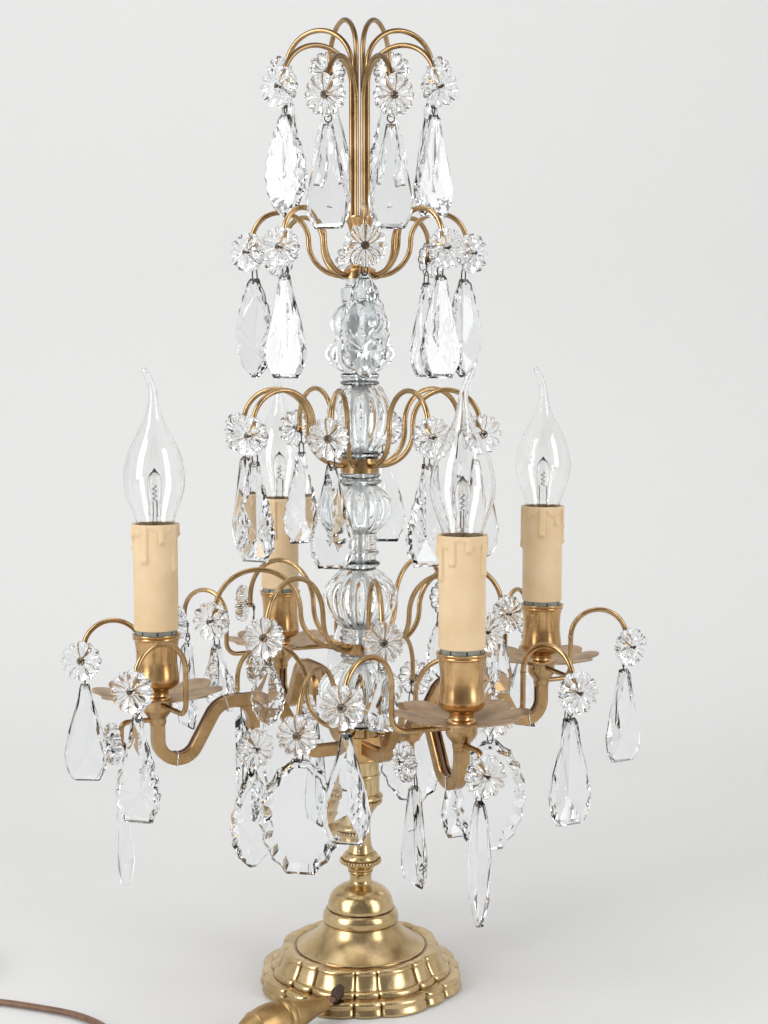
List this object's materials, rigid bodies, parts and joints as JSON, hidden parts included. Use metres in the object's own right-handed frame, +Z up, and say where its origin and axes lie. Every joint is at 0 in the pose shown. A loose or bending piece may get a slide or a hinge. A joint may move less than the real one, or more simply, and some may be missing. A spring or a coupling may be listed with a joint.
{
  "type": "crystal girandole table lamp",
  "caption": "Electric girandole: brass foot and glass column with bent wire tiers of cut crystal drops, curved arms with petal pans, candle sleeves and flame-tip bulbs.",
  "frame": {"origin": "centre of the foot's underside, on the table", "axes": "+Z up along the column, +X to the right in the picture, +Y away from the camera"},
  "size_m": [0.5029, 0.3384, 0.5813],
  "materials": {
    "brass": "polished, slightly dulled",
    "pan_brass": "dull patinated sheet",
    "rod_steel": "plated",
    "cover": "dark paint",
    "column_glass": "clear fluted glass",
    "bulb_glass": "clear",
    "crystal": "clear cut crystal",
    "sleeve": "cream",
    "holder": "grey",
    "flex": "brown",
    "bush": "dark brown",
    "push_bar": "cream",
    "tie": "black",
    "plug": "dark brown"
  },
  "bodies": {
    "lamp": {"foot": "brass", "stem": "brass", "hub": "brass", "hub_hooks": "brass", "lower_tier": "brass", "middle_tier": "brass", "upper_tier": "brass", "crown_vase": "brass", "crown_wires": "brass", "candle_arms": "brass", "pan_wires": "brass", "candle_cups": "brass", "switch_shell": "brass", "plug_pins": "brass", "drip_pans": "pan_brass", "column_rod": "rod_steel", "base_cover": "cover", "glass_1": "column_glass", "glass_2": "column_glass", "glass_3": "column_glass", "glass_4": "column_glass", "glass_5": "column_glass", "glass_cap": "column_glass", "crown_rosettes": "crystal", "pan_rosettes": "crystal", "upper_pendants": "crystal", "middle_pendants": "crystal", "lower_pendants": "crystal", "hook_pendants": "crystal", "arm_pendants": "crystal", "candle_sleeves": "sleeve", "lamp_holders": "holder", "arm_leads": "flex", "cord_lead_in": "flex", "cord_run": "flex", "cord_coil": "flex", "cord_bush": "bush", "coil_tie": "tie", "plug_body": "plug"},
    "bulb_1": {"bulb_1": "bulb_glass"},
    "bulb_2": {"bulb_2": "bulb_glass"},
    "bulb_3": {"bulb_3": "bulb_glass"},
    "bulb_4": {"bulb_4": "bulb_glass"},
    "switch_bar": {"switch_bar": "push_bar"},
    "crown_drop_1": {"crown_drop_1": "crystal"},
    "crown_drop_2": {"crown_drop_2": "crystal"},
    "crown_drop_3": {"crown_drop_3": "crystal"},
    "crown_drop_4": {"crown_drop_4": "crystal"},
    "crown_drop_5": {"crown_drop_5": "crystal"},
    "crown_drop_6": {"crown_drop_6": "crystal"},
    "crown_drop_7": {"crown_drop_7": "crystal"},
    "crown_drop_8": {"crown_drop_8": "crystal"},
    "pan_drop_1": {"pan_drop_1": "crystal"},
    "pan_drop_2": {"pan_drop_2": "crystal"},
    "pan_drop_3": {"pan_drop_3": "crystal"},
    "pan_drop_4": {"pan_drop_4": "crystal"},
    "pan_drop_5": {"pan_drop_5": "crystal"},
    "pan_drop_6": {"pan_drop_6": "crystal"},
    "pan_drop_7": {"pan_drop_7": "crystal"},
    "pan_drop_8": {"pan_drop_8": "crystal"}
  },
  "joints": [
    {"name": "bulb_1_screw", "type": "hinge", "parent": "lamp", "child": "bulb_1", "pos_m": [0.11546, 0.05384, 0.251], "axis": [0, 0, 1], "range_deg": [0, 1260]},
    {"name": "bulb_2_screw", "type": "hinge", "parent": "lamp", "child": "bulb_2", "pos_m": [-0.05384, 0.11546, 0.251], "axis": [0, 0, 1], "range_deg": [0, 1260]},
    {"name": "bulb_3_screw", "type": "hinge", "parent": "lamp", "child": "bulb_3", "pos_m": [-0.11546, -0.05384, 0.251], "axis": [0, 0, 1], "range_deg": [0, 1260]},
    {"name": "bulb_4_screw", "type": "hinge", "parent": "lamp", "child": "bulb_4", "pos_m": [0.05384, -0.11546, 0.251], "axis": [0, 0, 1], "range_deg": [0, 1260]},
    {"name": "switch_push", "type": "slide", "parent": "lamp", "child": "switch_bar", "axis": [0.682, -0.7314, 0], "range_m": [0, 0.005]},
    {"name": "crown_drop_1_swing", "type": "hinge", "parent": "lamp", "child": "crown_drop_1", "pos_m": [0.04168, 0.01932, 0.53612], "axis": [0.3827, -0.9239, 0], "range_deg": [-5, 20]},
    {"name": "crown_drop_2_swing", "type": "hinge", "parent": "lamp", "child": "crown_drop_2", "pos_m": [0.01714, 0.04139, 0.54478], "axis": [0.9239, -0.3827, 0], "range_deg": [-5, 20]},
    {"name": "crown_drop_3_swing", "type": "hinge", "parent": "lamp", "child": "crown_drop_3", "pos_m": [-0.01714, 0.04139, 0.54478], "axis": [0.9239, 0.3827, 0], "range_deg": [-5, 20]},
    {"name": "crown_drop_4_swing", "type": "hinge", "parent": "lamp", "child": "crown_drop_4", "pos_m": [-0.04168, 0.01932, 0.53612], "axis": [0.3827, 0.9239, 0], "range_deg": [-5, 20]},
    {"name": "crown_drop_5_swing", "type": "hinge", "parent": "lamp", "child": "crown_drop_5", "pos_m": [-0.04241, -0.01604, 0.52388], "axis": [-0.3827, 0.9239, 0], "range_deg": [-5, 20]},
    {"name": "crown_drop_6_swing", "type": "hinge", "parent": "lamp", "child": "crown_drop_6", "pos_m": [-0.01751, -0.04127, 0.51522], "axis": [-0.9239, 0.3827, 0], "range_deg": [0, 20]},
    {"name": "crown_drop_7_swing", "type": "hinge", "parent": "lamp", "child": "crown_drop_7", "pos_m": [0.01751, -0.04127, 0.51522], "axis": [-0.9239, -0.3827, 0], "range_deg": [0, 20]},
    {"name": "crown_drop_8_swing", "type": "hinge", "parent": "lamp", "child": "crown_drop_8", "pos_m": [0.04241, -0.01604, 0.52388], "axis": [-0.3827, -0.9239, 0], "range_deg": [-5, 20]},
    {"name": "pan_drop_1_swing", "type": "hinge", "parent": "lamp", "child": "pan_drop_1", "pos_m": [0.16204, 0.01816, 0.1945], "axis": [0, -1, 0], "range_deg": [-5, 20]},
    {"name": "pan_drop_2_swing", "type": "hinge", "parent": "lamp", "child": "pan_drop_2", "pos_m": [0.11136, 0.11602, 0.1945], "axis": [0.866, -0.5, 0], "range_deg": [-5, 20]},
    {"name": "pan_drop_3_swing", "type": "hinge", "parent": "lamp", "child": "pan_drop_3", "pos_m": [-0.01073, 0.16046, 0.1945], "axis": [0.9848, -0.1736, 0], "range_deg": [-5, 20]},
    {"name": "pan_drop_4_swing", "type": "hinge", "parent": "lamp", "child": "pan_drop_4", "pos_m": [-0.11602, 0.11356, 0.1945], "axis": [0.5, 0.866, 0], "range_deg": [-5, 20]},
    {"name": "pan_drop_5_swing", "type": "hinge", "parent": "lamp", "child": "pan_drop_5", "pos_m": [-0.16179, -0.02286, 0.1945], "axis": [-0.2588, 0.9659, 0], "range_deg": [-5, 20]},
    {"name": "pan_drop_6_swing", "type": "hinge", "parent": "lamp", "child": "pan_drop_6", "pos_m": [-0.11894, -0.1104, 0.1945], "axis": [-0.7071, 0.7071, 0], "range_deg": [-5, 20]},
    {"name": "pan_drop_7_swing", "type": "hinge", "parent": "lamp", "child": "pan_drop_7", "pos_m": [-0.00722, -0.15106, 0.1945], "axis": [-0.7071, 0.7071, 0], "range_deg": [-5, 20]},
    {"name": "pan_drop_8_swing", "type": "hinge", "parent": "lamp", "child": "pan_drop_8", "pos_m": [0.11159, -0.11751, 0.1945], "axis": [-0.7071, -0.7071, 0], "range_deg": [-5, 20]}
  ]
}
